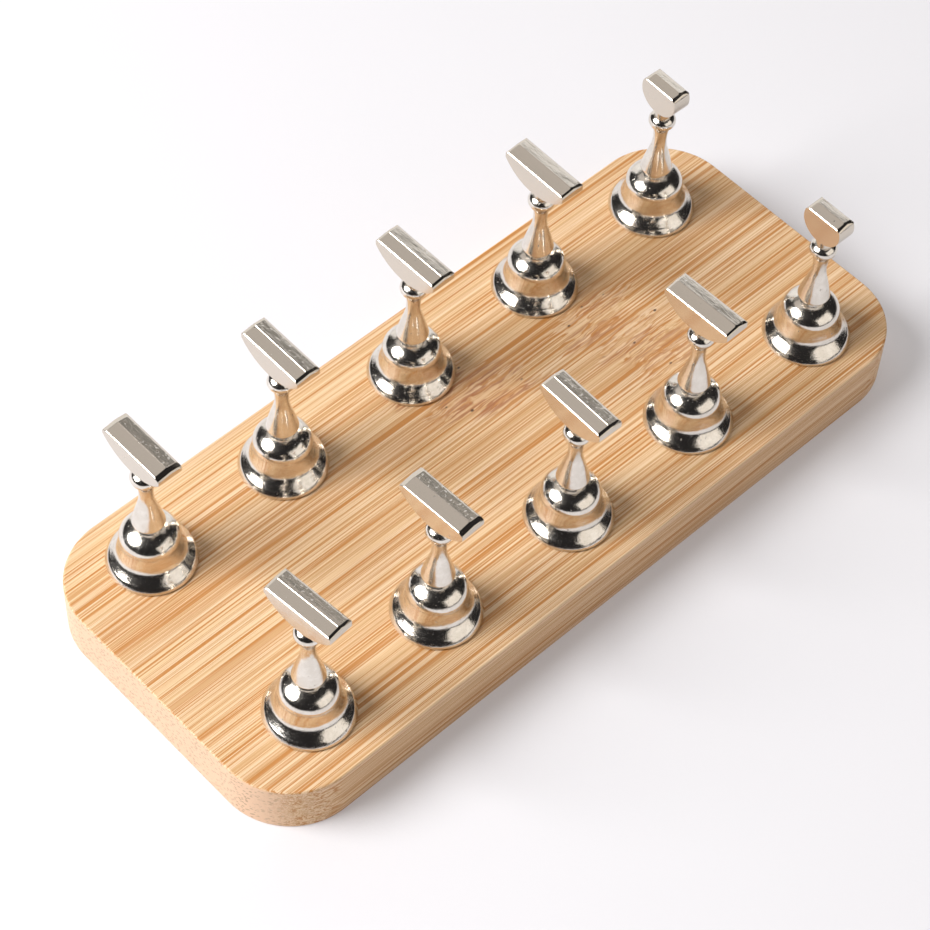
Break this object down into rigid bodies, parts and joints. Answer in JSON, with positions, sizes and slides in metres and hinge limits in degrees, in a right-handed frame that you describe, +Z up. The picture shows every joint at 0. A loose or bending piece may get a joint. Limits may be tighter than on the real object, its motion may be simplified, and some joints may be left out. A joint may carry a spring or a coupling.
{
  "type": "nail practice stand",
  "caption": "Flat bamboo board with rounded corners, carrying two rows of plated turned stands held by magnets, each topped by a half-moon head that holds a nail tip.",
  "frame": {"origin": "centre of the board's underside", "axes": "+X along the board towards the pair of short heads, +Y towards the back row, +Z up"},
  "size_m": [0.19, 0.081, 0.0553],
  "materials": {
    "bamboo": "fine sanded bamboo, glued up from strips, with a thin satin lacquer",
    "keeper_steel": "plain stamped steel",
    "magnet_nickel": "nickel-plated magnet",
    "bright_plating": "bright, slightly warm plating over a cast body",
    "head_plating": "plated, satin on the top facets and bright on the sides"
  },
  "bodies": {
    "board": {"bamboo_board": "bamboo", "keeper_disc_back_1": "keeper_steel", "keeper_disc_back_2": "keeper_steel", "keeper_disc_back_3": "keeper_steel", "keeper_disc_back_4": "keeper_steel", "keeper_disc_back_5": "keeper_steel", "keeper_disc_front_1": "keeper_steel", "keeper_disc_front_2": "keeper_steel", "keeper_disc_front_3": "keeper_steel", "keeper_disc_front_4": "keeper_steel", "keeper_disc_front_5": "keeper_steel"},
    "foot_magnet_back_1": {"foot_magnet_back_1": "magnet_nickel"},
    "stand_back_1": {"stand_back_1": "bright_plating", "nail_rest_back_1": "head_plating"},
    "foot_magnet_back_2": {"foot_magnet_back_2": "magnet_nickel"},
    "stand_back_2": {"stand_back_2": "bright_plating", "nail_rest_back_2": "head_plating"},
    "foot_magnet_back_3": {"foot_magnet_back_3": "magnet_nickel"},
    "stand_back_3": {"stand_back_3": "bright_plating", "nail_rest_back_3": "head_plating"},
    "foot_magnet_back_4": {"foot_magnet_back_4": "magnet_nickel"},
    "stand_back_4": {"stand_back_4": "bright_plating", "nail_rest_back_4": "head_plating"},
    "foot_magnet_back_5": {"foot_magnet_back_5": "magnet_nickel"},
    "stand_back_5": {"stand_back_5": "bright_plating", "nail_rest_back_5": "head_plating"},
    "foot_magnet_front_1": {"foot_magnet_front_1": "magnet_nickel"},
    "stand_front_1": {"stand_front_1": "bright_plating", "nail_rest_front_1": "head_plating"},
    "foot_magnet_front_2": {"foot_magnet_front_2": "magnet_nickel"},
    "stand_front_2": {"stand_front_2": "bright_plating", "nail_rest_front_2": "head_plating"},
    "foot_magnet_front_3": {"foot_magnet_front_3": "magnet_nickel"},
    "stand_front_3": {"stand_front_3": "bright_plating", "nail_rest_front_3": "head_plating"},
    "foot_magnet_front_4": {"foot_magnet_front_4": "magnet_nickel"},
    "stand_front_4": {"stand_front_4": "bright_plating", "nail_rest_front_4": "head_plating"},
    "foot_magnet_front_5": {"foot_magnet_front_5": "magnet_nickel"},
    "stand_front_5": {"stand_front_5": "bright_plating", "nail_rest_front_5": "head_plating"}
  },
  "joints": [
    {"name": "lift_back_1", "type": "slide", "parent": "board", "child": "foot_magnet_back_1", "axis": [0, 0, 1], "range_m": [0, 0.06]},
    {"name": "turn_back_1", "type": "hinge", "parent": "foot_magnet_back_1", "child": "stand_back_1", "pos_m": [-0.07366, 0.02596, 0.0143], "axis": [0, 0, 1], "continuous": true},
    {"name": "lift_back_2", "type": "slide", "parent": "board", "child": "foot_magnet_back_2", "axis": [0, 0, 1], "range_m": [0, 0.06]},
    {"name": "turn_back_2", "type": "hinge", "parent": "foot_magnet_back_2", "child": "stand_back_2", "pos_m": [-0.03689, 0.02596, 0.0143], "axis": [0, 0, 1], "continuous": true},
    {"name": "lift_back_3", "type": "slide", "parent": "board", "child": "foot_magnet_back_3", "axis": [0, 0, 1], "range_m": [0, 0.06]},
    {"name": "turn_back_3", "type": "hinge", "parent": "foot_magnet_back_3", "child": "stand_back_3", "pos_m": [0.00078, 0.02608, 0.0143], "axis": [0, 0, 1], "continuous": true},
    {"name": "lift_back_4", "type": "slide", "parent": "board", "child": "foot_magnet_back_4", "axis": [0, 0, 1], "range_m": [0, 0.06]},
    {"name": "turn_back_4", "type": "hinge", "parent": "foot_magnet_back_4", "child": "stand_back_4", "pos_m": [0.03833, 0.02566, 0.0143], "axis": [0, 0, 1], "continuous": true},
    {"name": "lift_back_5", "type": "slide", "parent": "board", "child": "foot_magnet_back_5", "axis": [0, 0, 1], "range_m": [0, 0.06]},
    {"name": "turn_back_5", "type": "hinge", "parent": "foot_magnet_back_5", "child": "stand_back_5", "pos_m": [0.07504, 0.02476, 0.0143], "axis": [0, 0, 1], "continuous": true},
    {"name": "lift_front_1", "type": "slide", "parent": "board", "child": "foot_magnet_front_1", "axis": [0, 0, 1], "range_m": [0, 0.06]},
    {"name": "turn_front_1", "type": "hinge", "parent": "foot_magnet_front_1", "child": "stand_front_1", "pos_m": [-0.07348, -0.02428, 0.0143], "axis": [0, 0, 1], "continuous": true},
    {"name": "lift_front_2", "type": "slide", "parent": "board", "child": "foot_magnet_front_2", "axis": [0, 0, 1], "range_m": [0, 0.06]},
    {"name": "turn_front_2", "type": "hinge", "parent": "foot_magnet_front_2", "child": "stand_front_2", "pos_m": [-0.03773, -0.0238, 0.0143], "axis": [0, 0, 1], "continuous": true},
    {"name": "lift_front_3", "type": "slide", "parent": "board", "child": "foot_magnet_front_3", "axis": [0, 0, 1], "range_m": [0, 0.06]},
    {"name": "turn_front_3", "type": "hinge", "parent": "foot_magnet_front_3", "child": "stand_front_3", "pos_m": [0, -0.02476, 0.0143], "axis": [0, 0, 1], "continuous": true},
    {"name": "lift_front_4", "type": "slide", "parent": "board", "child": "foot_magnet_front_4", "axis": [0, 0, 1], "range_m": [0, 0.06]},
    {"name": "turn_front_4", "type": "hinge", "parent": "foot_magnet_front_4", "child": "stand_front_4", "pos_m": [0.03737, -0.02404, 0.0143], "axis": [0, 0, 1], "continuous": true},
    {"name": "lift_front_5", "type": "slide", "parent": "board", "child": "foot_magnet_front_5", "axis": [0, 0, 1], "range_m": [0, 0.06]},
    {"name": "turn_front_5", "type": "hinge", "parent": "foot_magnet_front_5", "child": "stand_front_5", "pos_m": [0.07462, -0.02476, 0.0143], "axis": [0, 0, 1], "continuous": true}
  ]
}
